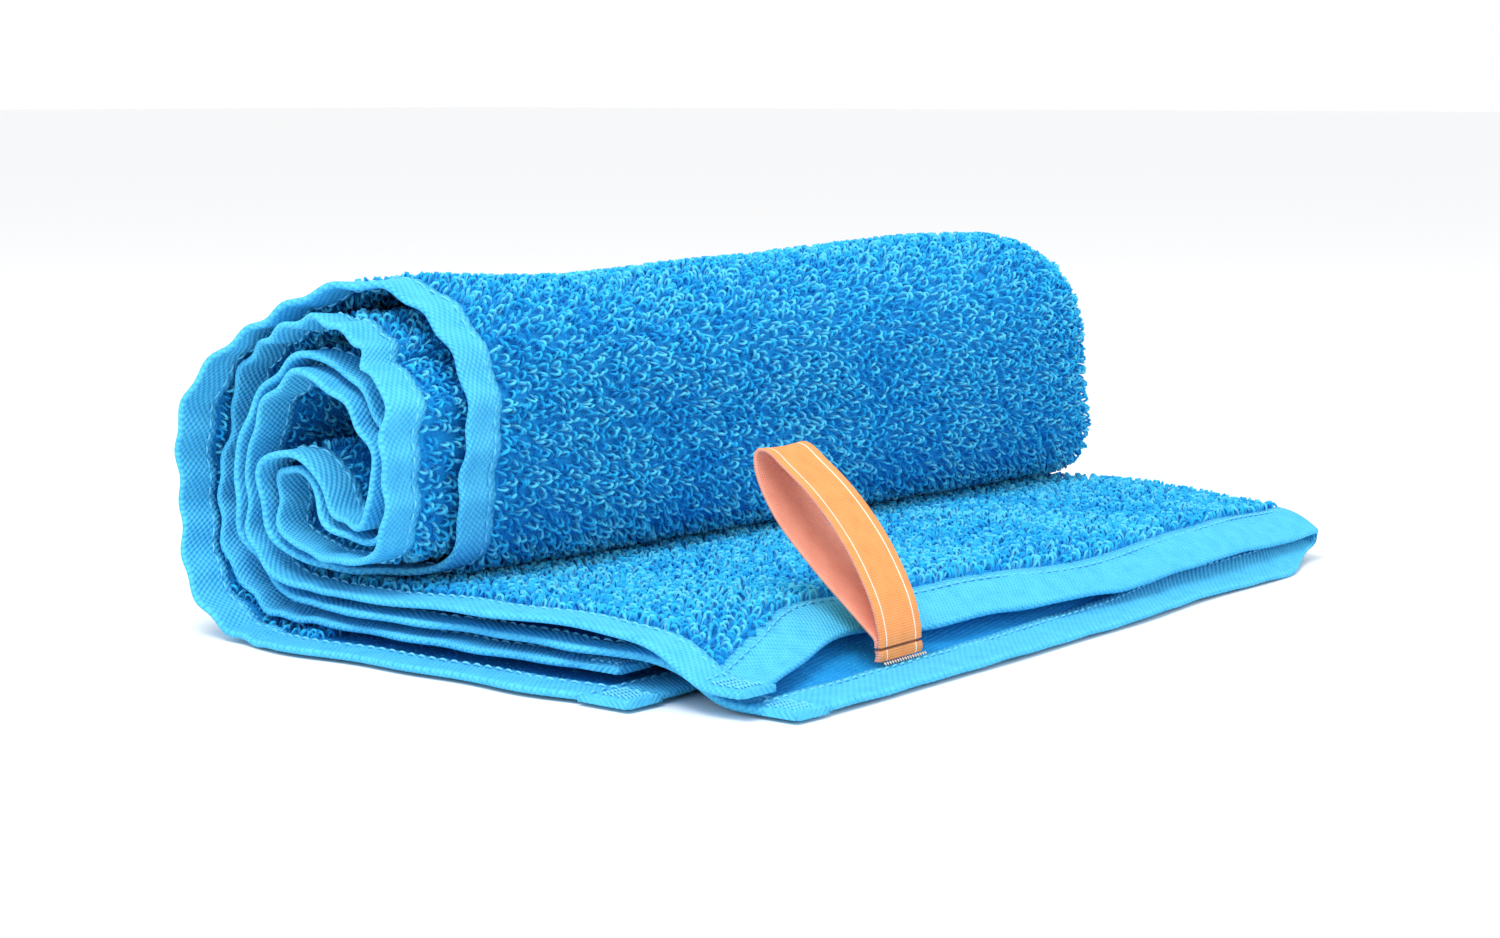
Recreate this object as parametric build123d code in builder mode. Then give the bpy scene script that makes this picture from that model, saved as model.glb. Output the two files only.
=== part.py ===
from build123d import *
import math
import os

# Rolled bath towel with a hanging loop, millimetres. X runs along the roll, from the hemmed end
# (low X) to the folded end (high X). The tail lies on the floor towards -Y. Z = 0 is the floor,
# and the origin is under the middle of the whole.
#
# The cloth is folded in half along its length, so two layers run side by side everywhere, joined
# by the fold at high X. The pair is rolled up from its middle: the section is an S core with two
# arms. Layer 1 is the inner layer of the floor arm and the lower layer of the top flap. Layer 2
# is the other one.

# ---- driving dimensions -------------------------------------------------------------------
ROLL_L = 250.0          # half the towel's width, so the length of the roll
LAYER_T = 3.0           # one layer of terry
LAYER_GAP = 0.3         # between the two layers of the folded cloth
FOLD_W = 3.0            # cloth standing across the fold, along X
SIDE_HEM_W = 9.0
HEM_INSET = 0.3         # a hem's face lies this far under the terry's face
END_HEM_W = 12.0
THREAD_W = 0.6
THREAD_T = 0.25
SIDE_STITCH_X = 7.4     # stitch line from the side hem's edge
END_STITCH = 10.2       # stitch line from the end hem's edge
TACK_W = 5.4            # sewn rectangle at a corner, along X
TACK_L = 8.0            # and along Y
TACK_EDGE = 1.4         # from both of the corner's edges

TAIL_SLOPE = 0.075      # the short ends are out of square with the roll by this much
TOP_LOW_END = -128.0    # end of the top flap's lower layer, where it meets the hemmed side
TOP_UP_END = -114.0     # end of its upper layer
FLOOR_LOW_END = -97.0   # end of the floor flap's lower layer
FLOOR_UP_END = -85.0    # end of its upper layer
FLOOR_TURN = -4.0       # where the floor flap starts to curve up into the roll
TOP_TURN = -114.0       # where the top flap has come down to the floor
FLAP_SPARE = 8.0        # cloth beyond the end lines before they are cut
SLOPE_ROOM = 1.4        # room for the slope of the cloth where a side hem meets an end hem
JOIN = 0.2              # a flat length runs this far into the curved one it belongs to

RIBBON_W = 15.0
RIBBON_T = 0.7
RIBBON_X = 54.0         # middle of the hanging loop, from the hemmed side
ROOT_T = 1.5            # both legs of the ribbon where they go into the hem
ROOT_Z = 3.4            # they come out on the face of the lower layer
PIVOT_Z = 7.0           # the loop swings about this height
ROOT_GAP = 1.4          # from the pivot down to the root's top
BAR_W = 0.9             # bar tack across the ribbon's foot
BAR_IN = 0.6            # from the hem's inner edge
BAR_Z = 2.98            # its middle

Y_SHIFT = 47.17          # puts the origin under the middle of the box

PAIR = LAYER_T + LAYER_GAP / 2
SLIT = LAYER_GAP / 2
TERRY_W = ROLL_L - SIDE_HEM_W
HEM_IN = SLIT + HEM_INSET
HEM_OUT = PAIR - HEM_INSET

# ---- middle line of the ribbon loop seen along its hinge, from the pivot: (back, up) -----------
LOOP = [(-0.4, 0.2), (-0.1, 2.2), (0.9, 6), (3.4, 11.4), (7.2, 17.5), (12.4, 23.8), (18.4, 29.4),
        (23.6, 33.4), (26.4, 35.1), (28.0, 35.0), (28.4, 33), (27, 28.4), (23.3, 22.4),
        (17.8, 16.4), (11.9, 10.8), (6.2, 5.8), (1.7, 1.8), (0.4, 0.2)]

# ---- middle line of the folded pair, (Y, Z), from the floor flap to the end of the top flap --
MID_OUTER = [(FLOOR_TURN, PAIR), (8, 3.5), (16, 5.4), (22.8, 11), (27.8, 19.6), (30.4, 29),
             (29.6, 38.5), (26, 47.5), (20.5, 56), (12, 64), (3, 69), (-7, 71.3), (-16, 70),
             (-23.5, 65.8), (-28.3, 59), (-29.9, 50), (-30, 38), (-29.4, 28), (-26, 20.4),
             (-18, 16.8)]
MID_CORE = [(-8, 16.6), (0, 17.4), (6, 20.4), (9.8, 25.2), (10.6, 31), (8.4, 36), (4, 38.2),
            (-0.8, 36.8), (-4.3, 32.5), (-7.6, 27.6), (-11.8, 24.4), (-16.6, 24.0),
            (-20.8, 26.6), (-22.9, 31.5), (-23, 38), (-20.6, 44.8), (-15.6, 51), (-9, 55.2)]
MID_INNER = [(-1, 56.8), (7, 53.6), (13.2, 47.2), (17.6, 39.6), (19.3, 31), (18.5, 23.5),
             (15.3, 16.9), (9.8, 12.2), (2, 10)]
MID_TOP = [(-8, 9.8), (-30, 9.8), (-52, 9.8), (-74, 9.8), (-86, 9.8), (-93, 9.6),
           (-98, 8.3), (-103, 5.8), (-108, 3.8), (TOP_TURN, PAIR)]

LEAD_IN = [(FLOOR_TURN - 24, PAIR), (FLOOR_TURN - 16, PAIR), (FLOOR_TURN - 8, PAIR)]
LEAD_OUT = [(TOP_TURN - 6, PAIR), (TOP_TURN - 12, PAIR), (TOP_TURN - 18, PAIR)]
PATH = LEAD_IN + MID_OUTER + MID_CORE + MID_INNER + MID_TOP + LEAD_OUT
MID = Edge.make_spline([Vector(y, z, 0) for y, z in PATH])


def where(point):
    """Place of one of the middle line's own points along it, 0 to 1."""
    return MID.param_at_point(Vector(point[0], point[1], 0))


CUTS = [where(p) for p in (MID_OUTER[0], MID_CORE[0], MID_INNER[0], MID_TOP[0], MID_TOP[-1])]
SAMPLE = 2.0            # distance between the points that carry an offset curve
TOP_STEP = 0.0005       # search step along the middle line


def section(x):
    """Plane across the roll at distance x from the hemmed side; its own X and Y are Y and Z."""
    return Plane(origin=(x - ROLL_L / 2, Y_SHIFT, 0), x_dir=(0, 1, 0), z_dir=(1, 0, 0))


def slant(y):
    """Upright plane along a short end of the towel, its normal towards the roll."""
    return Plane(origin=(-ROLL_L / 2, y + Y_SHIFT, 0), x_dir=(1, TAIL_SLOPE, 0),
                 z_dir=(-TAIL_SLOPE, 1, 0))


def offsets(u0, u1, off):
    """Points beside the middle line. Positive is layer 1's side."""
    n = max(4, int(math.ceil((u1 - u0) * MID.length / SAMPLE)))
    out = []
    for i in range(n + 1):
        u = u0 + (u1 - u0) * i / n
        p = MID.position_at(u)
        t = MID.tangent_at(u)
        out.append((p.X - t.Y * off, p.Y + t.X * off))
    return out


def band(x, u0, u1, off0, off1):
    """Sketch of the strip between two offsets of the middle line."""
    a = offsets(u0, u1, off0)
    b = offsets(u0, u1, off1)[::-1]
    with BuildSketch(section(x)) as strip:
        with BuildLine():
            Spline(a)
            Line(a[-1], b[0])
            Spline(b)
            Line(b[-1], a[0])
        make_face()
    return strip.sketch


def slab(x, y0, y1, z0, z1):
    """Sketch of a flat piece of cloth on the floor."""
    with BuildSketch(section(x)) as piece:
        with Locations(((y0 + y1) / 2, (z0 + z1) / 2)):
            Rectangle(y1 - y0, z1 - z0)
    return piece.sketch


def folded(u0, u1):
    """Two layers of terry from u0 to u1 and the fold that joins them."""
    extrude(band(SIDE_HEM_W, u0, u1, -PAIR, PAIR), amount=TERRY_W)
    slit = band(SIDE_HEM_W, u0, u1, -SLIT, SLIT)
    extrude(slit, amount=TERRY_W - FOLD_W, mode=Mode.SUBTRACT)


def floor_layer(x, width, z0, z1):
    """The floor flap between two heights, longer than it ends up."""
    extrude(slab(x, FLOOR_LOW_END - FLAP_SPARE, FLOOR_TURN, z0, z1), amount=width)


def long_side(x, width, off0, off1, y_floor, y_top):
    """One piece that follows the whole cloth, from the floor flap to the end of the top flap."""
    u_top = CUTS[4]
    while MID.position_at(u_top).X < y_top:
        u_top -= TOP_STEP
    sides = []
    for off in (off0, off1):
        side = [(y_floor, PAIR + off)] + offsets(CUTS[0], u_top, off)
        if y_top < TOP_TURN:
            side.append((y_top, PAIR - off))
        sides.append(side)
    with BuildSketch(section(x)) as outline:
        with BuildLine():
            Polyline(*sides[0], *sides[1][::-1], close=True)
        make_face()
    extrude(outline.sketch, amount=width)


def top_layer(x, width, off0, off1):
    """The top flap between two offsets of the middle line, longer than it ends up."""
    extrude(band(x, CUTS[3], CUTS[4], off0, off1), amount=width)
    flat = slab(x, TOP_LOW_END - FLAP_SPARE, TOP_TURN + JOIN, PAIR - off1, PAIR - off0)
    extrude(flat, amount=width)


def crop(y_end, keep=Keep.TOP):
    """Cut the part being built along a slanted end line."""
    split(bisect_by=slant(y_end), keep=keep)


def strip_crop(y_end, width):
    """Keep only the strip of the part that lies within a width of its slanted end line."""
    crop(y_end)
    crop(y_end + width, Keep.BOTTOM)


# ---- terry cloth, in the spans where it lies -------------------------------------------------
with BuildPart() as floor_upper:
    floor_layer(SIDE_HEM_W, TERRY_W, PAIR + SLIT, 2 * PAIR)
    floor_layer(ROLL_L - FOLD_W, FOLD_W, PAIR - SLIT, PAIR + SLIT)
    crop(FLOOR_UP_END + END_HEM_W)

with BuildPart() as terry_floor_flap:
    floor_layer(SIDE_HEM_W, TERRY_W, 0, LAYER_T)
    crop(FLOOR_LOW_END + END_HEM_W)
    add(floor_upper.part)

with BuildPart() as terry_outer_turn:
    folded(CUTS[0], CUTS[1])

with BuildPart() as terry_core:
    folded(CUTS[1], CUTS[2])

with BuildPart() as terry_inner_turn:
    folded(CUTS[2], CUTS[3])

with BuildPart() as top_upper:
    top_layer(SIDE_HEM_W, TERRY_W, -PAIR, -SLIT)
    top_layer(ROLL_L - FOLD_W, FOLD_W, -SLIT, SLIT)
    crop(TOP_UP_END + END_HEM_W)

with BuildPart() as terry_top_flap:
    top_layer(SIDE_HEM_W, TERRY_W, SLIT, PAIR)
    crop(TOP_LOW_END + END_HEM_W)
    add(top_upper.part)

# ---- side hems: one along each long side, folded cloth without pile ---------------------------
FLOOR_UP_STOP = FLOOR_UP_END + END_HEM_W + TAIL_SLOPE * SIDE_HEM_W
FLOOR_LOW_STOP = FLOOR_LOW_END + END_HEM_W + TAIL_SLOPE * SIDE_HEM_W
TOP_LOW_STOP = TOP_LOW_END + END_HEM_W + TAIL_SLOPE * SIDE_HEM_W
TOP_UP_STOP = TOP_UP_END + END_HEM_W + TAIL_SLOPE * SIDE_HEM_W + SLOPE_ROOM

with BuildPart() as side_hem_1:
    long_side(0, SIDE_HEM_W, HEM_IN, HEM_OUT, FLOOR_UP_STOP, TOP_LOW_STOP)

with BuildPart() as side_hem_2:
    long_side(0, SIDE_HEM_W, -HEM_OUT, -HEM_IN, FLOOR_LOW_STOP, TOP_UP_STOP)

# ---- end hems: the two short ends, each layer of the folded cloth has its half ----------------
with BuildPart() as end_hem_floor_lower:
    floor_layer(0, ROLL_L, PAIR - HEM_OUT, PAIR - HEM_IN)
    strip_crop(FLOOR_LOW_END, END_HEM_W)

with BuildPart() as end_hem_floor_upper:
    floor_layer(0, ROLL_L, PAIR + HEM_IN, PAIR + HEM_OUT)
    strip_crop(FLOOR_UP_END, END_HEM_W)

with BuildPart() as end_hem_top_lower:
    top_layer(0, ROLL_L, HEM_IN, HEM_OUT)
    strip_crop(TOP_LOW_END, END_HEM_W)

with BuildPart() as end_hem_top_upper:
    top_layer(0, ROLL_L, -HEM_OUT, -HEM_IN)
    strip_crop(TOP_UP_END, END_HEM_W)

# ---- stitch lines: a thread along each hem, on the face that is turned outwards ----------------
OUTSIDE = HEM_OUT + THREAD_T

with BuildPart() as side_stitch_1:
    long_side(SIDE_STITCH_X, THREAD_W, HEM_OUT, OUTSIDE, FLOOR_UP_STOP, TOP_LOW_STOP)

with BuildPart() as side_stitch_2:
    long_side(SIDE_STITCH_X, THREAD_W, -OUTSIDE, -HEM_OUT, FLOOR_LOW_STOP, TOP_UP_STOP)

with BuildPart() as end_stitch_floor:
    floor_layer(0, ROLL_L, PAIR - HEM_IN, PAIR - HEM_IN + THREAD_T)
    strip_crop(FLOOR_LOW_END + END_STITCH, THREAD_W)

with BuildPart() as end_stitch_lower:
    top_layer(0, ROLL_L, HEM_IN - THREAD_T, HEM_IN)
    strip_crop(TOP_LOW_END + END_STITCH, THREAD_W)

with BuildPart() as end_stitch_upper:
    top_layer(0, ROLL_L, -HEM_OUT - THREAD_T, -HEM_OUT)
    strip_crop(TOP_UP_END + END_STITCH, THREAD_W)

# ---- corner tacks: a small sewn rectangle on each corner that can be seen ----------------------
TACK_HOLE_W = TACK_W - 2 * THREAD_W
TACK_HOLE_L = TACK_L - 2 * THREAD_W
TACK_HOLE = TACK_EDGE + THREAD_W

with BuildPart() as floor_hole:
    floor_layer(TACK_HOLE, TACK_HOLE_W, 0, PAIR)
    strip_crop(FLOOR_LOW_END + TACK_HOLE, TACK_HOLE_L)

with BuildPart() as corner_tack_floor:
    floor_layer(TACK_EDGE, TACK_W, PAIR - HEM_IN, PAIR - HEM_IN + THREAD_T)
    strip_crop(FLOOR_LOW_END + TACK_EDGE, TACK_L)
    add(floor_hole.part, mode=Mode.SUBTRACT)

with BuildPart() as lower_hole:
    top_layer(TACK_HOLE, TACK_HOLE_W, -PAIR, PAIR)
    strip_crop(TOP_LOW_END + TACK_HOLE, TACK_HOLE_L)

with BuildPart() as corner_tack_lower:
    top_layer(TACK_EDGE, TACK_W, HEM_IN - THREAD_T, HEM_IN)
    strip_crop(TOP_LOW_END + TACK_EDGE, TACK_L)
    add(lower_hole.part, mode=Mode.SUBTRACT)

with BuildPart() as upper_hole:
    top_layer(TACK_HOLE, TACK_HOLE_W, -PAIR, PAIR)
    strip_crop(TOP_UP_END + TACK_HOLE, TACK_HOLE_L)

with BuildPart() as corner_tack_upper:
    top_layer(TACK_EDGE, TACK_W, -HEM_OUT - THREAD_T, -HEM_OUT)
    strip_crop(TOP_UP_END + TACK_EDGE, TACK_L)
    add(upper_hole.part, mode=Mode.SUBTRACT)

# ---- hanging loop: a ribbon folded in two, its root caught in the hem of the lower layer ------
LOW_INNER = TOP_LOW_END + END_HEM_W + TAIL_SLOPE * RIBBON_X
PIVOT_Y = (LOW_INNER + TOP_UP_END + TAIL_SLOPE * RIBBON_X) / 2
ACROSS = (-TAIL_SLOPE, 1, 0)
ALONG = (1, TAIL_SLOPE, 0)


def ribbon_plane(y, z, along):
    """Plane across the ribbon; its own X points back over the towel and its Y up."""
    unit = math.hypot(1, TAIL_SLOPE)
    origin = (RIBBON_X - ROLL_L / 2 + along / unit, y + Y_SHIFT + along * TAIL_SLOPE / unit, z)
    return Plane(origin=origin, x_dir=ACROSS, z_dir=ALONG)


RIBBON_LINE = Edge.make_spline([Vector(y, z, 0) for y, z in LOOP])


def ribbon_side(off, samples=60):
    """Points beside the ribbon's middle line."""
    out = []
    for i in range(samples + 1):
        p = RIBBON_LINE.position_at(i / samples)
        t = RIBBON_LINE.tangent_at(i / samples)
        out.append((p.X - t.Y * off, p.Y + t.X * off))
    return out


with BuildPart() as hang_loop:
    with BuildSketch(ribbon_plane(PIVOT_Y, PIVOT_Z, -RIBBON_W / 2)):
        with BuildLine():
            outer = ribbon_side(RIBBON_T / 2)
            inner = ribbon_side(-RIBBON_T / 2)[::-1]
            Spline(outer)
            Line(outer[-1], inner[0])
            Spline(inner)
            Line(inner[-1], outer[0])
        make_face()
    extrude(amount=RIBBON_W)

with BuildPart() as loop_root:
    with BuildSketch(ribbon_plane(PIVOT_Y, (ROOT_Z + PIVOT_Z - ROOT_GAP) / 2, -RIBBON_W / 2)):
        Rectangle(ROOT_T, PIVOT_Z - ROOT_GAP - ROOT_Z)
    extrude(amount=RIBBON_W)

with BuildPart() as loop_bar_tack:
    with BuildSketch(ribbon_plane(LOW_INNER - BAR_IN, BAR_Z, -RIBBON_W / 2)):
        Rectangle(BAR_W, THREAD_T)
    extrude(amount=RIBBON_W)

# ---- write every piece ------------------------------------------------------------------------
PIECES = {
    "terry_floor_flap": terry_floor_flap,
    "terry_outer_turn": terry_outer_turn,
    "terry_core": terry_core,
    "terry_inner_turn": terry_inner_turn,
    "terry_top_flap": terry_top_flap,
    "side_hem_1": side_hem_1,
    "side_hem_2": side_hem_2,
    "end_hem_floor_lower": end_hem_floor_lower,
    "end_hem_floor_upper": end_hem_floor_upper,
    "end_hem_top_lower": end_hem_top_lower,
    "end_hem_top_upper": end_hem_top_upper,
    "side_stitch_1": side_stitch_1,
    "side_stitch_2": side_stitch_2,
    "end_stitch_floor": end_stitch_floor,
    "end_stitch_lower": end_stitch_lower,
    "end_stitch_upper": end_stitch_upper,
    "corner_tack_floor": corner_tack_floor,
    "corner_tack_lower": corner_tack_lower,
    "corner_tack_upper": corner_tack_upper,
    "loop_root": loop_root,
    "loop_bar_tack": loop_bar_tack,
    "hang_loop": hang_loop,
}

os.makedirs("parts", exist_ok=True)
for name, piece in PIECES.items():
    piece.part.label = name
    export_step(piece.part, "parts/" + name + ".step")

pivot = (RIBBON_X - ROLL_L / 2, PIVOT_Y + Y_SHIFT, PIVOT_Z)
print("loop pivot", [round(v, 3) for v in pivot], "axis", ALONG)
print("middle line", round(MID.length, 1))
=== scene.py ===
import math

import bpy
import numpy as np
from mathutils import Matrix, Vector


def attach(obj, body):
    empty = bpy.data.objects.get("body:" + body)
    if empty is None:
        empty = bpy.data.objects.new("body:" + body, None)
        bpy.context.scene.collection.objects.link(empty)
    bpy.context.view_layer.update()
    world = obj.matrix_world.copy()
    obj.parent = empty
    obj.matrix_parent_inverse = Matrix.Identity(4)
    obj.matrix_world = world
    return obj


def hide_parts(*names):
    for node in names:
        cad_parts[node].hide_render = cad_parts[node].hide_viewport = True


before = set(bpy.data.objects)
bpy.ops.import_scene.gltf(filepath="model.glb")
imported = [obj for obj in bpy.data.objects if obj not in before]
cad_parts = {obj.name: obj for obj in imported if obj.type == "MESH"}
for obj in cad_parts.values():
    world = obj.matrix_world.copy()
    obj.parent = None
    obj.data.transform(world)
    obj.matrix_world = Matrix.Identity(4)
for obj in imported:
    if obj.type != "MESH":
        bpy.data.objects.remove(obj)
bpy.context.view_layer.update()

# Sizes in millimetres; MM turns them into the scene's metres.
MM = 0.001
ROLL_L = 250.0
Y_SHIFT = 47.17
TAIL_SLOPE = 0.075
LOW_END, UP_END = -128.0, -114.0
FLOOR_LOW, FLOOR_UP = -97.0, -85.0
HALF = 1.65             # ground cloth to the middle of the folded pair
FOLD_X = 247.0          # outermost ground cloth at the fold
HEM_W = 9.0
END_HEM = 12.0
PILE_CLEAR = 0.9        # bare ground between a hem and the pile
SIDE_STITCH, END_STITCH = 7.6, 10.4     # stitch lines from the hems' edges
STITCH_FACE = 0.80      # from the cloth's middle to a hem's face

# ---- the path of the folded pair, seen along the roll: (y, z) -------------------------------
PATH = [(-103, 3.15), (-80, 3.15), (-55, 3.15), (-30, 3.15), (-12, 3.15), (-4, 3.15), (8, 3.5),
        (16, 5.4), (22.8, 11), (27.8, 19.6), (30.4, 29), (29.6, 38.5), (26, 47.5), (20.5, 56),
        (12, 64), (3, 69), (-7, 71.3), (-16, 70), (-23.5, 65.8), (-28.3, 59), (-29.9, 50),
        (-30, 38), (-29.4, 28), (-26, 20.4), (-18, 16.8), (-8, 16.6), (0, 17.4), (6, 20.4),
        (9.8, 25.2), (10.6, 31), (8.4, 36), (4, 38.2), (-0.8, 36.8), (-4.3, 32.5), (-7.6, 27.6),
        (-11.8, 24.4), (-16.6, 24.0), (-20.8, 26.6), (-22.9, 31.5), (-23, 38), (-20.6, 44.8),
        (-15.6, 51), (-9, 55.2), (-1, 56.8), (7, 53.6), (13.2, 47.2), (17.6, 39.6), (19.3, 31),
        (18.5, 23.5), (15.3, 16.9), (9.8, 12.2), (2, 10), (-8, 9.8), (-30, 9.8), (-52, 9.8),
        (-74, 9.8), (-86, 9.8), (-93, 9.6), (-98, 8.3), (-103, 5.8), (-108, 3.8),
        (-114, 3.15), (-125, 3.15), (-140, 3.15)]


def spline(points, step):
    """Points at even steps along a smooth curve through the given ones, with unit tangents."""
    p = np.array(points, float)
    t = np.concatenate([[0], np.cumsum(np.hypot(*np.diff(p, axis=0).T))])
    n = len(p)
    h = np.diff(t)
    a = np.zeros((n, n))
    b = np.zeros((n, p.shape[1]))
    a[0, 0] = a[-1, -1] = 1
    for i in range(1, n - 1):
        a[i, i - 1], a[i, i], a[i, i + 1] = h[i - 1], 2 * (h[i - 1] + h[i]), h[i]
        b[i] = 6 * ((p[i + 1] - p[i]) / h[i] - (p[i] - p[i - 1]) / h[i - 1])
    m = np.linalg.solve(a, b)

    def at(x):
        i = np.clip(np.searchsorted(t, x) - 1, 0, n - 2)
        hi = h[i][:, None]
        u = (t[i + 1] - x)[:, None]
        v = (x - t[i])[:, None]
        return (m[i] * u ** 3 + m[i + 1] * v ** 3) / (6 * hi) + (
            (p[i] / hi - m[i] * hi / 6) * u + (p[i + 1] / hi - m[i + 1] * hi / 6) * v)

    fine = at(np.linspace(0, t[-1], 6000))
    s = np.concatenate([[0], np.cumsum(np.hypot(*np.diff(fine, axis=0).T))])
    k = int(round(s[-1] / step))
    even = np.linspace(0, s[-1], k + 1)
    pos = np.stack([np.interp(even, s, fine[:, j]) for j in range(2)], 1)
    tan = np.gradient(pos, even, axis=0)
    tan /= np.linalg.norm(tan, axis=1)[:, None]
    return even, pos, tan


S, POS, TAN = spline(PATH, 0.5)
S_END = S[-1]
NOR = np.stack([-TAN[:, 1], TAN[:, 0]], 1)      # towards layer 1


def near(y, z):
    """Distance along the path of the place nearest to (y, z)."""
    return S[np.argmin(np.hypot(POS[:, 0] - y, POS[:, 1] - z))]


S_TURN = near(-4, 3.15)         # the floor flap starts to rise
S_FAR = near(30.4, 29)          # far side of the roll
S_TOP = near(-7, 71.3)
S_NEAR = near(-30, 38)          # near side of the roll
S_UNDER = near(-18, 16.8)
S_CORE = near(4, 38.2)
S_FLAP = near(-8, 9.8)


def bell(s, mid, width):
    return np.exp(-((s - mid) / width) ** 2)


def step01(x, a, b):
    t = np.clip((x - a) / (b - a), 0, 1)
    return t * t * (3 - 2 * t)


def ripple(a, b, seed, scale):
    """Smooth noise in [-1, 1] from a few sines, the same on every run."""
    r = np.random.default_rng(seed)
    out = 0.0
    for _ in range(5):
        ka, kb = r.normal(0, 1, 2) / scale
        out = out + np.sin(ka * a + kb * b + r.uniform(0, 6.28))
    return out / 3.0


def left(s, side):
    """X of the hem's edge: the layers are a little out of step with each other at this end."""
    wave = 0.8 * ripple(s, 0 * s, 31 if side > 0 else 32, 9.0)
    # short crooks in the hem, as where it was folded by hand
    wave = wave + 1.5 * ripple(s, 0 * s, 33 if side > 0 else 34, 3.2)
    if side > 0:
        swing = 3.0 * bell(s, S_FAR, 40) - 3.0 * bell(s, S_NEAR, 40)
        return swing + 2.5 * step01(s, S_FLAP, S_END) + wave + 1.0
    floor_out = -8.5 * (1 - step01(s, S_TURN, S_FAR))
    back = 15.0 * step01(s, S_TOP - 40, S_TOP + 25) * (1 - step01(s, S_UNDER - 5, S_UNDER + 30))
    return -5.0 * bell(s, S_FAR, 45) + floor_out + back - 2.5 * step01(s, S_FLAP, S_END) + wave


def fold_turn(x):
    """From 0 on the layers to 1 at the fold, where both layers' ends meet."""
    return step01(x, ROLL_L - 34, ROLL_L - 2)


def start(x, side):
    """Where the cloth starts on the path, at the floor end."""
    y = (FLOOR_UP if side > 0 else FLOOR_LOW) + TAIL_SLOPE * x
    return y - PATH[0][0] + 0.5 * ripple(x, 0 * x, 51, 14.0)


def stop(x, side):
    """Where the cloth ends on the path, at the top flap's end."""
    y = (LOW_END if side > 0 else UP_END) + TAIL_SLOPE * x
    turn = fold_turn(x)
    mid = (LOW_END + UP_END) / 2 + TAIL_SLOPE * x
    y = y * (1 - turn) + mid * turn
    if side > 0:
        y = y + 2.0 * (1 - step01(x, 0, 60))
    else:
        y = y - 3.5 * (1 - step01(x, 0, 22)) + 8.0 * bell(x, 48, 24) - 6.0 * step01(x, 85, 160) * (1 - turn)
    return S_END - (y - PATH[-1][0]) + 0.9 * ripple(x, 0 * x, 52 if side > 0 else 53, 13.0)


def begin(x, side):
    """start, with the two layers brought together at the fold."""
    turn = fold_turn(x)
    mean = (start(x, 1) + start(x, -1)) / 2
    return np.where(side > 0, start(x, 1), start(x, -1)) * (1 - turn) + mean * turn


ARC = math.pi * HALF / 2        # length of the cloth round a quarter of the fold


def place(s, v, lift=0.0):
    """Ground cloth at path distance s and distance v from the fold line; v < 0 is layer 2.
    lift moves off the cloth, away from the folded pair's middle. Millimetres, row frame."""
    side = np.where(v < 0, -1.0, 1.0)
    far = np.abs(v)
    around = np.clip(far / ARC, 0, 1) * math.pi / 2
    x = np.where(far > ARC, FOLD_X - HALF - (far - ARC), FOLD_X - HALF + (HALF + lift) * np.cos(around))
    off = np.where(far > ARC, HALF + lift, (HALF + lift) * np.sin(around))
    i = np.clip(s / S_END * (len(S) - 1), 0, len(S) - 1.001)
    k = i.astype(int)
    f = (i - k)[..., None]
    p = POS[k] * (1 - f) + POS[k + 1] * f
    n = NOR[k] * (1 - f) + NOR[k + 1] * f
    hem_end = 1 - step01(x, 8, 75)
    # the inner layer hangs below the outer one at the top of the hemmed end
    sag = (4.0 * bell(s, S_TOP + 8, 20) + 3.0 * bell(s, S_TOP + 24, 6)) * hem_end * (side > 0)
    gap = 0.8 * hem_end * bell(s, S_NEAR, 60)
    rolled = step01(s, S_TURN - 5, S_TURN + 25) * (1 - step01(s, S_UNDER - 30, S_UNDER))
    body = rolled * (-1.8 * bell(x, 75, 50) + 1.6 * bell(x, 205, 40) + 0.5 * ripple(s, x, 11, 16.0))
    kinks = 1.7 * ripple(s, 0.15 * x, 14, 4.6) * hem_end ** 2 * rolled
    kinks = kinks + 0.9 * ripple(s, 0.1 * x, 15, 3.4) * hem_end ** 2 * step01(s, S_UNDER, S_UNDER + 20) * (
        1 - step01(s, S_FLAP - 20, S_FLAP))
    shift = -body * (1 - bell(s, S_TURN, 12)) + kinks
    flap = step01(s, S_FLAP + 10, S_FLAP + 40)
    z_up = flap * (0.7 * ripple(s, x, 12, 15.0) + 0.6) * (side < 0)
    ends = step01(s, S_END - 42, S_END - 18)
    z_up = z_up + ends * (side < 0) * (1.0 + 1.3 * ripple(x, 0 * x, 13, 11.0)) * step01(x, 10, 40)
    y = p[..., 0] + n[..., 0] * (side * off + sag + shift + gap * (side > 0))
    z = p[..., 1] + n[..., 1] * (side * off + sag + shift + gap * (side > 0)) + z_up
    # the flap's fold edge slants in towards its end, and lies lower there
    tail = step01(s, S_FLAP + 25, S_END)
    cross = x
    x = x - 19.0 * tail * (np.clip(cross, 0, None) / ROLL_L) ** 1.5
    z = z - 1.6 * tail * step01(cross, 170, 250)
    # the fold end is rounded over at the top of the roll
    x = x - 7.0 * bell(s, S_TOP, 55) * step01(cross, 195, 250) ** 1.5
    tuck = step01(cross, ROLL_L - 24, ROLL_L) ** 2 * rolled * 4.6
    y = y + n[..., 0] * tuck
    z = z + n[..., 1] * tuck
    return np.stack([x - ROLL_L / 2, y + Y_SHIFT, z], -1)


def width(s, side):
    """Distance from the fold line to the hem's edge."""
    return FOLD_X - HALF + ARC - left(s, side)


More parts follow.
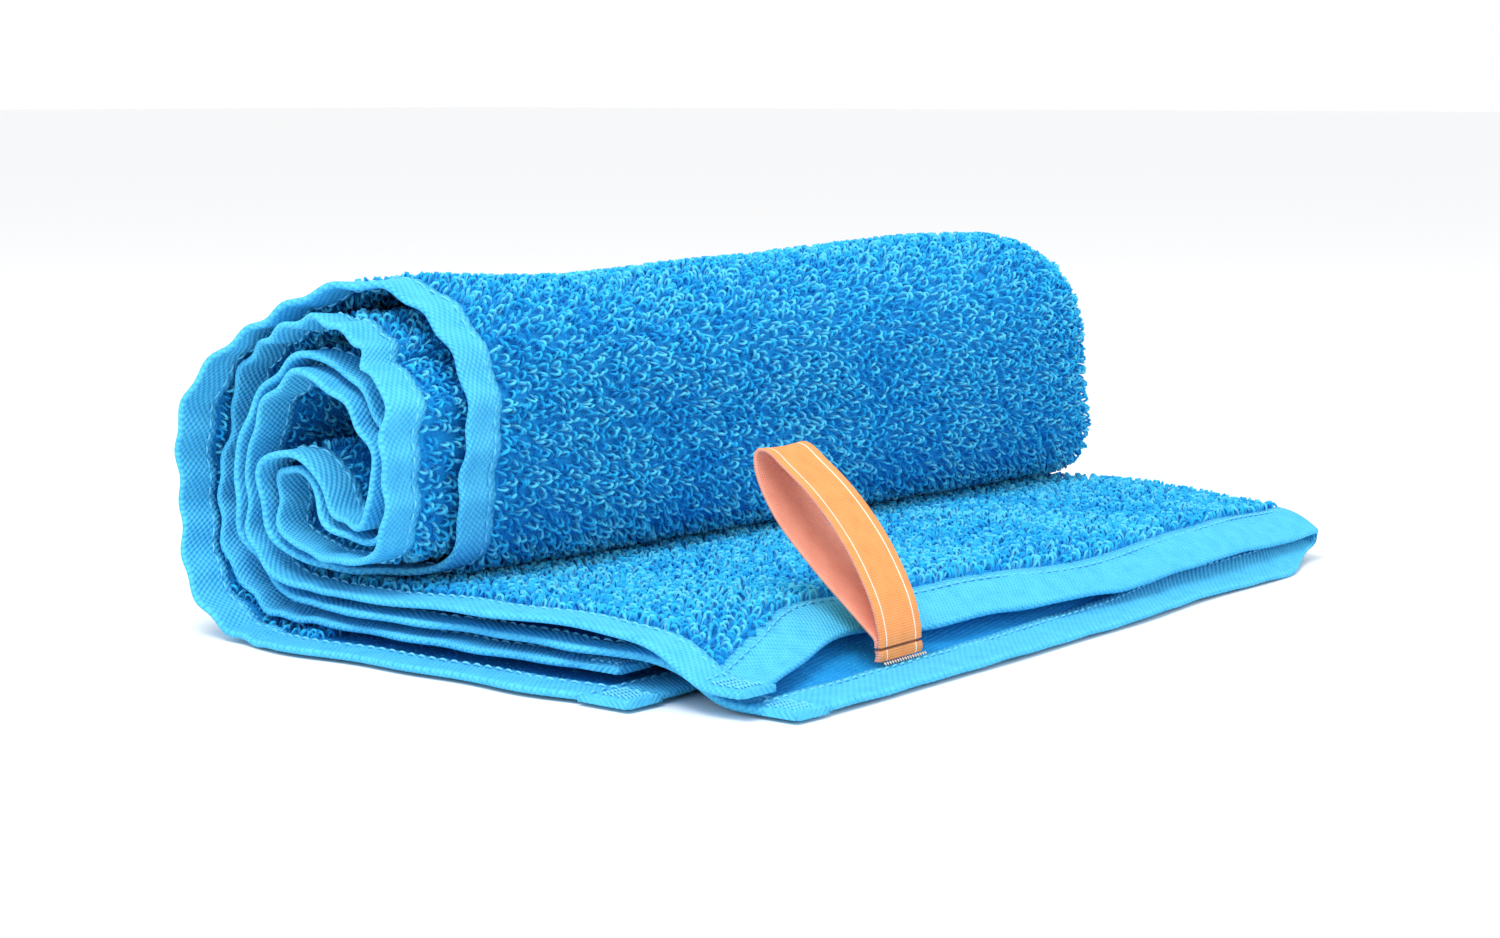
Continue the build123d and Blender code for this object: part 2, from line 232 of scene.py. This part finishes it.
# ---- mesh helpers ----------------------------------------------------------------------------
def mesh_object(name, verts, quads, mats, index=None, uv=None):
    """A smooth mesh of quads from points in millimetres."""
    me = bpy.data.meshes.new(name)
    verts = np.asarray(verts, np.float32) * MM
    quads = np.asarray(quads, np.int32)
    per = quads.shape[1]
    me.vertices.add(len(verts))
    me.vertices.foreach_set("co", verts.ravel())
    me.loops.add(quads.size)
    me.loops.foreach_set("vertex_index", quads.ravel())
    me.polygons.add(len(quads))
    me.polygons.foreach_set("loop_start", np.arange(0, quads.size, per, dtype=np.int32))
    me.polygons.foreach_set("use_smooth", np.full(len(quads), True))
    if index is not None:
        me.polygons.foreach_set("material_index", np.asarray(index, np.int32))
    if uv is not None:
        layer = me.uv_layers.new(name="UVMap")
        layer.data.foreach_set("uv", np.asarray(uv, np.float32)[quads.ravel()].ravel())
    me.update(calc_edges=True)
    me.validate()
    ob = bpy.data.objects.new(name, me)
    bpy.context.scene.collection.objects.link(ob)
    for m in mats:
        me.materials.append(m)
    return ob


def grid_quads(rows, cols, wrap=False):
    r = np.arange(rows - 1)[:, None]
    c = np.arange(cols if wrap else cols - 1)[None, :]
    a = r * cols + c
    b = r * cols + (c + 1) % cols
    return np.stack([a, b, b + cols, a + cols], -1).reshape(-1, 4)


# ---- materials ---------------------------------------------------------------------------------
def principled(name, color, rough=0.9, sheen=0.0, sheen_tint=None, sss=0.0):
    m = bpy.data.materials.new(name)
    m.use_nodes = True
    b = m.node_tree.nodes["Principled BSDF"]
    b.inputs["Base Color"].default_value = (*color, 1)
    b.inputs["Roughness"].default_value = rough
    b.inputs["Specular IOR Level"].default_value = 0.25
    if sheen:
        b.inputs["Sheen Weight"].default_value = sheen
        b.inputs["Sheen Roughness"].default_value = 0.4
        b.inputs["Sheen Tint"].default_value = (*(sheen_tint or color), 1)
    return m


WAVE = 3.1416 / 10      # the wave node's bands per unit at scale 1
WEFT_COARSER = 0.8


def woven(name, dark, light, pitch, tilt, rough=0.85, sheen=0.3, depth=0.25):
    """Plain weave: fine diagonal ribs crossed by the weft, over slow changes of tone."""
    m = principled(name, light, rough, sheen, light)
    nt = m.node_tree
    b = nt.nodes["Principled BSDF"]
    uv = nt.nodes.new("ShaderNodeUVMap")
    rot = nt.nodes.new("ShaderNodeMapping")
    rot.inputs["Rotation"].default_value = (0, 0, math.radians(tilt))
    wave = nt.nodes.new("ShaderNodeTexWave")
    wave.inputs["Scale"].default_value = 1.0 / pitch * WAVE
    wave.inputs["Distortion"].default_value = 0.6
    wave.inputs["Detail"].default_value = 1.0
    cross = nt.nodes.new("ShaderNodeTexWave")
    cross.bands_direction = "Y"
    cross.inputs["Scale"].default_value = 1.0 / pitch * WAVE * WEFT_COARSER
    cross.inputs["Distortion"].default_value = 0.4
    both = nt.nodes.new("ShaderNodeMath")
    both.operation = "ADD"
    noise = nt.nodes.new("ShaderNodeTexNoise")
    noise.inputs["Scale"].default_value = 0.25
    noise.inputs["Detail"].default_value = 4.0
    mix = nt.nodes.new("ShaderNodeMixRGB")
    mix.inputs["Color1"].default_value = (*dark, 1)
    mix.inputs["Color2"].default_value = (*light, 1)
    part = nt.nodes.new("ShaderNodeMath")
    part.operation = "MULTIPLY_ADD"
    part.inputs[1].default_value = 0.32
    bump = nt.nodes.new("ShaderNodeBump")
    bump.inputs["Strength"].default_value = depth
    bump.inputs["Distance"].default_value = 0.0004
    link = nt.links.new
    link(uv.outputs["UV"], rot.inputs["Vector"])
    link(rot.outputs["Vector"], wave.inputs["Vector"])
    link(rot.outputs["Vector"], cross.inputs["Vector"])
    link(uv.outputs["UV"], noise.inputs["Vector"])
    link(wave.outputs["Fac"], both.inputs[0])
    link(cross.outputs["Fac"], both.inputs[1])
    link(both.outputs[0], part.inputs[0])
    link(noise.outputs["Fac"], part.inputs[2])
    link(part.outputs[0], mix.inputs["Fac"])
    link(mix.outputs["Color"], b.inputs["Base Color"])
    link(both.outputs[0], bump.inputs["Height"])
    link(bump.outputs["Normal"], b.inputs["Normal"])
    return m


HEM_MAT = woven("hem_weave", (0.010, 0.33, 0.72), (0.10, 0.62, 0.97), 0.9, 35, depth=0.5)
GROUND = woven("terry_ground", (0.002, 0.17, 0.52), (0.01, 0.32, 0.75), 0.9, 10, 0.95, 0.1)
THREAD_MAT = principled("thread", (0.16, 0.68, 1.0), 0.6, 0.3)
# three shades of the pile blue: loops get them partly at random and partly as painted light and shade,
# lighter where the tufts stand taller
PILE = [principled("pile_deep", (0.006, 0.36, 0.80), 0.9, 0.25, (0.25, 0.75, 1.0)),
        principled("pile_mid", (0.020, 0.50, 0.90), 0.9, 0.35, (0.35, 0.85, 1.0)),
        principled("pile_bright", (0.085, 0.66, 0.97), 0.9, 0.45, (0.45, 0.90, 1.0))]
ORANGE = woven("ribbon_face", (0.72, 0.20, 0.055), (1.0, 0.38, 0.12), 0.5, 0, 0.6, 0.15, 0.3)
PINK = woven("ribbon_back", (0.72, 0.22, 0.13), (0.95, 0.42, 0.30), 0.5, 0, 0.6, 0.15, 0.3)
CREAM = woven("ribbon_stripe", (0.85, 0.62, 0.46), (1.0, 0.84, 0.72), 0.5, 0, 0.6, 0.15, 0.3)
FLOOR_MAT = principled("floor", (0.93, 0.935, 0.945), 0.9)

# ---- ground cloth: one sheet, folded in half and rolled ------------------------------------------
rows = int(S_END / 2.0)
side_cols = 110
t = np.linspace(0, 1, rows)[:, None]
c = np.linspace(-1, 1, 2 * side_cols + 1)[None, :]


def cloth_sv(t, c):
    """(s, v) on the cloth from its own coordinates, 0..1 along and -1..1 across."""
    side = np.where(c < 0, -1.0, 1.0)
    x = FOLD_X * (1 - np.abs(c))
    s0 = begin(x, side)
    s1 = np.where(side > 0, stop(x, 1), stop(x, -1))
    s = s0 + (s1 - s0) * t
    v = c * np.where(side > 0, width(s, 1), width(s, -1))
    return s, v


s_g, v_g = cloth_sv(t + 0 * c, c + 0 * t)
cloth = mesh_object("towel_cloth", place(s_g, v_g).reshape(-1, 3),
                    grid_quads(rows, 2 * side_cols + 1), [GROUND],
                    uv=np.stack([s_g, v_g], -1).reshape(-1, 2))
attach(cloth, "towel")

# ---- bands: hems round the edges ---------------------------------------------------------------
def rounded(w, t, n=5):
    """Cross-section of a folded hem, w wide and t thick, its outer edge fuller than its inner one."""
    r = t / 2
    a = np.linspace(-math.pi / 2, -3 * math.pi / 2, 2 * n + 1)
    edge = [(r + r * math.cos(q), r * math.sin(q)) for q in a]
    top = [(u, r * (1 - 0.10 * (u / w))) for u in np.linspace(r, w, 8)[1:]]
    low = [(u, -z) for u, z in top[::-1]]
    return np.array(edge + top + low)


def banded(name, section, at, n, mat):
    """A closed band: section (u inwards from the edge, w out of the cloth) carried along n stations."""
    mid = section.mean(0)
    ring, rows_uv = [], []
    for k, size in [(0, 0.02), (0, 0.7)] + [(j, 1.0) for j in range(n)] + [(n - 1, 0.7), (n - 1, 0.02)]:
        sec = mid + (section - mid) * size
        ring.append((k, sec))
    ks = np.array([k for k, _ in ring])[:, None]
    secs = np.array([sec for _, sec in ring])
    pts, run = at(ks + 0 * secs[..., 0], secs[..., 0], secs[..., 1])
    uv = np.stack([run, secs[..., 0] + secs[..., 1]], -1)
    ob = mesh_object(name, pts.reshape(-1, 3), grid_quads(len(ring), section.shape[0], wrap=True), [mat],
                     uv=uv.reshape(-1, 2))
    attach(ob, "towel")
    return ob


def side_hem(name, sgn, t_hem=1.5):
    s0 = float(start(np.array(0.0), sgn))
    s1 = float(stop(np.array(0.0), sgn))
    n = int((s1 - s0) / 1.2)

    def at(k, u, w):
        s = s0 + (s1 - s0) * k / (n - 1)
        pucker = 0.12 * np.sin(s * 2.1) + 0.25 * ripple(s, 0 * s, 61 if sgn > 0 else 62, 6.0)
        v = sgn * (width(s, sgn) - u)
        return place(s, v, w + pucker * (u / HEM_W)), s

    return banded(name, rounded(HEM_W + 0.6, t_hem), at, n, HEM_MAT)


def end_hem(name, low_end, t_hem=1.5):
    """One band over both layers' ends, round the fold."""
    n = 440

    def at(k, u, w):
        c_ = -1 + 2 * k / (n - 1)
        tt = np.zeros_like(c_) if low_end else np.ones_like(c_)
        s_, v_ = cloth_sv(tt, c_)
        s_ = s_ + (u if low_end else -u)
        pucker = 0.10 * np.sin(v_ * 2.3) + 0.35 * ripple(v_, 0 * v_, 63, 7.0)
        return place(s_, v_, w + pucker * 0.5), v_

    return banded(name, rounded(END_HEM + 0.4, t_hem), at, n, HEM_MAT)


hem_1 = side_hem("hem_side_inner", 1)
hem_2 = side_hem("hem_side_outer", -1)
hem_top = end_hem("hem_end_top", False)
hem_floor = end_hem("hem_end_floor", True, 1.3)

# ---- instanced small shapes: stitches and pile loops --------------------------------------------
def tubes(name, centre, across, mats, radius, index=None):
    """Tubes along centre[k] (k, m, 3) with ring directions across (2, k, m, 3); each is one strand."""
    k, m, _ = centre.shape
    sides = 3
    ang = np.arange(sides) * 2 * math.pi / sides
    cos, sin = np.cos(ang)[None, None, :, None], np.sin(ang)[None, None, :, None]
    ring = centre[:, :, None] + radius[:, :, None, None] * (
        across[0][:, :, None] * cos + across[1][:, :, None] * sin)
    verts = ring.reshape(-1, 3)
    one = grid_quads(m, sides, wrap=True)
    quads = (one[None] + (np.arange(k) * m * sides)[:, None, None]).reshape(-1, 4)
    ob = mesh_object(name, verts, quads, mats)
    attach(ob, "towel")
    return ob


def stitches(name, a, b, n, mat=THREAD_MAT, rad=0.27):
    """Short threads from a to b (k, 3), bowed out along n."""
    m = 5
    f = np.linspace(0, 1, m)[None, :, None]
    bow = np.array([-0.12, 0.12, 0.2, 0.12, -0.12])[None, :, None]
    centre = a[:, None] * (1 - f) + b[:, None] * f + n[:, None] * bow
    d = b - a
    d /= np.linalg.norm(d, axis=1)[:, None] + 1e-9
    e = np.cross(n, d)
    ac = np.stack([np.repeat(n[:, None], m, 1), np.repeat(e[:, None], m, 1)])
    r = np.tile(np.array([0.4, 1, 1, 1, 0.4]) * rad, (len(a), 1))
    return tubes(name, centre, ac, [mat], r)


def outward(s, v, lift):
    """Point on the outside face, normal there and direction along the cloth."""
    p = place(s, v, lift)
    q = place(s, v, lift + 0.5)
    n = q - p
    n /= np.linalg.norm(n, axis=-1)[..., None] + 1e-9
    d = place(s + 0.4, v, lift) - place(s - 0.4, v, lift)
    d -= n * (d * n).sum(-1)[..., None]
    d /= np.linalg.norm(d, axis=-1)[..., None] + 1e-9
    return p, n, d


def side_run(sgn, u, pitch=2.9, length=2.2):
    s0 = float(start(np.array(0.0), sgn)) + 1.2
    s1 = float(stop(np.array(0.0), sgn)) - 1.2
    s = np.arange(s0, s1 - length, pitch)
    out = []
    for face in (1, -1):
        pa, n, _ = outward(s, sgn * (width(s, sgn) - u), face * STITCH_FACE)
        pb, _, _ = outward(s + length, sgn * (width(s + length, sgn) - u), face * STITCH_FACE)
        out.append((pa, pb, n * face))
    return out


def end_run(low_end, u, pitch=2.9, length=2.2):
    out = []
    c_ = np.arange(-0.995, 0.995 - length / FOLD_X, pitch / FOLD_X)
    for face in (1, -1):
        ends = []
        for cc in (c_, c_ + length / FOLD_X):
            s_, v_ = cloth_sv((np.zeros_like(cc) if low_end else np.ones_like(cc)), cc)
            s_ = s_ + (u if low_end else -u)
            ends.append(outward(s_, v_, face * STITCH_FACE))
        out.append((ends[0][0], ends[1][0], ends[0][1] * face))
    return out


def corner_run(sgn, low_end):
    """The sewn rectangle at a corner: lines of stitching close together."""
    out = []
    s_edge = float((start if low_end else stop)(np.array(0.0), sgn))
    into = 1 if low_end else -1
    for face in (1, -1):
        for u in np.linspace(1.6, 6.6, 6):
            s = s_edge + into * np.arange(1.6, 9.0, 1.9)
            pa, n, _ = outward(s, sgn * (width(s, sgn) - u), face * 0.82)
            sb = s + into * 1.6
            pb, _, _ = outward(sb, sgn * (width(sb, sgn) - u - 0.35), face * 0.82)
            out.append((pa, pb, n * face))
    return out


def sewn(name, runs):
    a, b, n = (np.concatenate([r[j] for r in runs]) for j in range(3))
    return stitches(name, a, b, n)


st_side_1 = sewn("stitch_side_inner", side_run(1, SIDE_STITCH))
st_side_2 = sewn("stitch_side_outer", side_run(-1, SIDE_STITCH))
st_top = sewn("stitch_end_top", end_run(False, END_STITCH))
st_floor = sewn("stitch_end_floor", end_run(True, END_STITCH))
tack_floor = sewn("tack_floor", corner_run(-1, True) + corner_run(1, True))
tack_low = sewn("tack_lower", corner_run(1, False))
tack_up = sewn("tack_upper", corner_run(-1, False))

# ---- pile -----------------------------------------------------------------------------------------
def scatter(s0, s1, v0, v1, pitch, seed):
    """Jittered rows over a patch of cloth."""
    r = np.random.default_rng(seed)
    ns, nv = max(2, int((s1 - s0) / pitch)), max(2, int((v1 - v0) / pitch))
    s = s0 + (np.arange(ns)[:, None] + 0.5 * (np.arange(nv)[None, :] % 2) + 0.5) * (s1 - s0) / ns
    v = v0 + (np.arange(nv)[None, :] + 0.5) * (v1 - v0) / nv + 0 * s
    s = s + r.normal(0, 0.26 * pitch, s.shape)
    v = v + r.normal(0, 0.26 * pitch, v.shape)
    return s.ravel(), v.ravel()


def within(s, v):
    """Keeps what lies on the cloth inside its hems."""
    sgn = np.where(v < 0, -1.0, 1.0)
    x = np.clip(FOLD_X - HALF + ARC - np.abs(v), 0, ROLL_L)
    a = begin(x, sgn)
    b = np.where(sgn > 0, stop(x, 1), stop(x, -1))
    w = np.where(sgn > 0, width(s, 1), width(s, -1))
    along = (s > a + END_HEM + PILE_CLEAR) & (s < b - END_HEM - PILE_CLEAR)
    return along & (np.abs(v) < w - HEM_W - PILE_CLEAR)


def pile(tag, patches, height, face=1, seed=0, rad=0.36, parts=1):
    r = np.random.default_rng(100 + seed)
    s, v = (np.concatenate(q) for q in zip(*[scatter(*p, seed + i) for i, p in enumerate(patches)]))
    keep = within(s, v)
    s, v = s[keep], v[keep]
    p, n, d = outward(s, v, face * 0.05)
    n = n * face
    e = np.cross(n, d)
    k = len(s)
    turn = r.uniform(0, 2 * math.pi, k)[:, None]
    g = d * np.cos(turn) + e * np.sin(turn)
    lean = r.normal(0, 0.45, k)[:, None] * d + r.normal(0, 0.45, k)[:, None] * e
    # tuft noise: sets the loops' height, and below it also sets their painted light and shade
    tuft_and_shade = 0.5 + 0.5 * ripple(s, v, 71, 5.0)
    h = height * (0.80 + 0.25 * r.random(k) + 0.18 * tuft_and_shade)[:, None]
    spread = (0.55 + 0.25 * r.random(k))[:, None]
    m = 6
    q = np.linspace(0, math.pi, m)
    arch = [p - n * 0.1 - g * spread * math.cos(a) * (1 + 0.35 * math.sin(a))
            + (n + 0.55 * lean) * h * math.sin(a) for a in q]
    centre = np.stack(arch, 1)
    tan = np.gradient(centre, axis=1)
    tan /= np.linalg.norm(tan, axis=2)[..., None] + 1e-9
    b1 = np.cross(tan, np.cross(n, g)[:, None])
    b1 /= np.linalg.norm(b1, axis=2)[..., None] + 1e-9
    b2 = np.cross(tan, b1)
    radius = (rad * (0.85 + 0.3 * r.random(k)))[:, None] * np.array([0.8, 1, 1.12, 1.12, 1, 0.8])[None]
    # loop tone: three quarters random, one quarter painted light and shade from the tuft noise, so taller
    # tufts come out lighter
    tone_and_shade = r.random(k) * 0.75 + 0.25 * tuft_and_shade
    made = []
    for j, (lo, hi) in enumerate([(-9, 0.28), (0.28, 0.62), (0.62, 9)]):
        pick = np.flatnonzero((tone_and_shade >= lo) & (tone_and_shade < hi))
        for i, c_ in enumerate(np.array_split(pick, parts)):
            made.append(tubes(f"pile_{tag}_{'abc'[j]}{i}", centre[c_], np.stack([b1[c_], b2[c_]]), [PILE[j]],
                              radius[c_]))
    return made


W = FOLD_X + 2
PITCH = 1.72
roll_pile = pile("roll", [(S_TURN - 10, S_UNDER + 18, -W, 12, PITCH)], 1.75, seed=1, parts=1)
flap_pile = pile("flap", [(S_FLAP - 30, S_END, -W, 12, PITCH)], 1.75, seed=2, parts=1)
low_pile = pile("strip", [(S_END - 45, S_END, 12, W, 2.1), (S_END - 45, S_END, 195, W, 2.1)], 1.3, seed=3)
under_pile = pile("under", [(0, S_TURN - 8, -W, 12, 2.6)], 1.05, seed=4)
hollow_pile = pile("hollow", [(S_FAR - 50, S_UNDER + 30, -W, -W + 75, 1.9),
                              (S_FAR - 50, S_UNDER + 30, W - 55, W, 2.0)], 1.5, face=-1, seed=5)
inner_pile = pile("inner", [(20, S_FLAP, W - 55, W, 2.0),
                            (S_UNDER + 18, S_FLAP, -W, -W + 60, 2.1),
                            (20, S_FLAP, 2, 26, 2.1), (S_UNDER + 18, S_FLAP - 30, -26, 0, 2.1)], 1.4, seed=6)

# ---- the hanging loop -------------------------------------------------------------------------------
LOOP = [(-0.4, -0.9), (-0.4, 0.2), (-0.1, 2.2), (0.9, 6), (3.4, 11.4), (7.2, 17.5), (12.4, 23.8),
        (18.4, 29.4), (23.6, 33.4), (26.4, 35.1), (28.0, 35.0), (28.4, 33), (27, 28.4), (23.3, 22.4),
        (17.8, 16.4), (11.9, 10.8), (6.2, 5.8), (1.7, 1.8), (0.4, 0.2), (0.4, -0.9)]
RIBBON_X = 54.0
PIVOT = Vector((RIBBON_X - ROLL_L / 2, -63.78, 7.0))
RIBBON_W, RIBBON_T = 15.0, 0.7
unit = math.hypot(1, TAIL_SLOPE)
ALONG = np.array([1, TAIL_SLOPE, 0]) / unit
BACK = np.array([-TAIL_SLOPE, 1, 0]) / unit


def ribbon(name, line, body, thick=RIBBON_T, mats=None):
    """A flat ribbon carried along a line of (back, up) from the pivot, striped along its length."""
    m = mats or [ORANGE, PINK, CREAM]
    run, pos, tan = spline(line, 0.6)
    nor = np.stack([-tan[:, 1], tan[:, 0]], 1)
    xs = np.array([-7.5, -7.3, -6.2, -5.4, -5.0, -4, -2.2, 0, 2.2, 4, 5.0, 5.4, 6.2, 7.3, 7.5])
    sec = [(x, thick / 2 - (0.12 if abs(x) == 7.5 else 0)) for x in xs]
    sec += [(x, -z) for x, z in sec[::-1]]
    sec = np.array(sec)
    n = len(run)
    f = (run / run[-1])[:, None]
    cup = 0.35 * np.sin(f * math.pi) * (sec[None, :, 0] / 7.5) ** 2
    off = sec[None, :, 1] + cup
    y = pos[:, None, 0] + nor[:, None, 0] * off
    z = pos[:, None, 1] + nor[:, None, 1] * off
    pts = (np.array(PIVOT)[None, None] + ALONG * sec[None, :, 0, None] + BACK * y[..., None]
           + np.array([0, 0, 1.0]) * z[..., None])
    cols = len(sec)
    quads = grid_quads(n, cols, wrap=True)
    col = np.tile(np.arange(cols), n - 1)
    face = np.where(col < cols // 2, 0, 1)
    uv = np.stack([np.repeat(run, cols), np.tile(sec[:, 0], n)], -1)
    index = face.copy()
    mid = (sec[:, 0] + np.roll(sec[:, 0], -1)) / 2
    stripe = np.isin(np.round(np.abs(mid), 2), [5.2])
    index[np.tile(stripe, n - 1) & (face == 0)] = 2
    ob = mesh_object(name, pts.reshape(-1, 3), quads, m, index=index, uv=uv)
    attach(ob, body)
    return ob


loop = ribbon("ribbon_loop", LOOP, "loop")
root = ribbon("ribbon_root", [(0, -3.6), (0, -2.6), (0, -1.4)], "towel", thick=1.5)
bar_y = LOW_END + END_HEM + TAIL_SLOPE * RIBBON_X - 0.6 + Y_SHIFT
bx = np.linspace(-7.2, 7.2, 17)
ba = np.stack([PIVOT.x + bx, bar_y + TAIL_SLOPE * bx - 0.5, 3.1 + 0 * bx], -1)
bar = stitches("ribbon_bar_tack", ba, ba + np.array([0.45, 1.0, 0.02]), np.tile([0, 0, 1.0], (17, 1)),
               CREAM, 0.2)

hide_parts("terry_floor_flap", "terry_outer_turn", "terry_core", "terry_inner_turn", "terry_top_flap")
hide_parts("side_hem_1")
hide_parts("side_hem_2")
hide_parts("end_hem_top_lower", "end_hem_top_upper")
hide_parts("end_hem_floor_lower", "end_hem_floor_upper")
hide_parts("side_stitch_1")
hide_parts("side_stitch_2")
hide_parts("end_stitch_lower", "end_stitch_upper")
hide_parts("end_stitch_floor")
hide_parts("corner_tack_floor")
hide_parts("corner_tack_lower")
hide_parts("corner_tack_upper")
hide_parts("hang_loop")
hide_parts("loop_root")
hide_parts("loop_bar_tack")

# ---- floor, light, camera ----------------------------------------------------------------------------
bpy.ops.mesh.primitive_plane_add(size=30, location=(0, 0, 0))
floor = bpy.context.object
floor.name = "floor"
floor.data.materials.append(FLOOR_MAT)

world = bpy.data.worlds.new("studio")
bpy.context.scene.world = world
world.use_nodes = True
world.node_tree.nodes["Background"].inputs["Color"].default_value = (1, 1, 1, 1)
world.node_tree.nodes["Background"].inputs["Strength"].default_value = 1.0


def area(name, place_at, aim, size, power):
    light = bpy.data.lights.new(name, "AREA")
    light.shape = "DISK"
    light.size = size
    light.energy = power
    ob = bpy.data.objects.new(name, light)
    ob.location = place_at
    ob.rotation_euler = (Vector(aim) - Vector(place_at)).to_track_quat("-Z", "Y").to_euler()
    bpy.context.scene.collection.objects.link(ob)
    return ob


area("key", (-0.55, -0.10, 0.95), (0, 0, 0.03), 0.55, 6.5)
area("fill", (0.5, -0.9, 0.5), (0, 0, 0.03), 0.8, 1.2)

cam = bpy.data.cameras.new("camera")
cam.lens, cam.sensor_width = 72, 36
cam.shift_x, cam.shift_y = 0.0173, -0.006
camera = bpy.data.objects.new("camera", cam)
camera.location = (-0.531, -0.4058, 0.112)
camera.rotation_euler = Vector((0.7603, 0.6380, -0.1219)).to_track_quat("-Z", "Y").to_euler()
bpy.context.scene.collection.objects.link(camera)
bpy.context.scene.camera = camera
bpy.context.scene.view_settings.view_transform = "Standard"
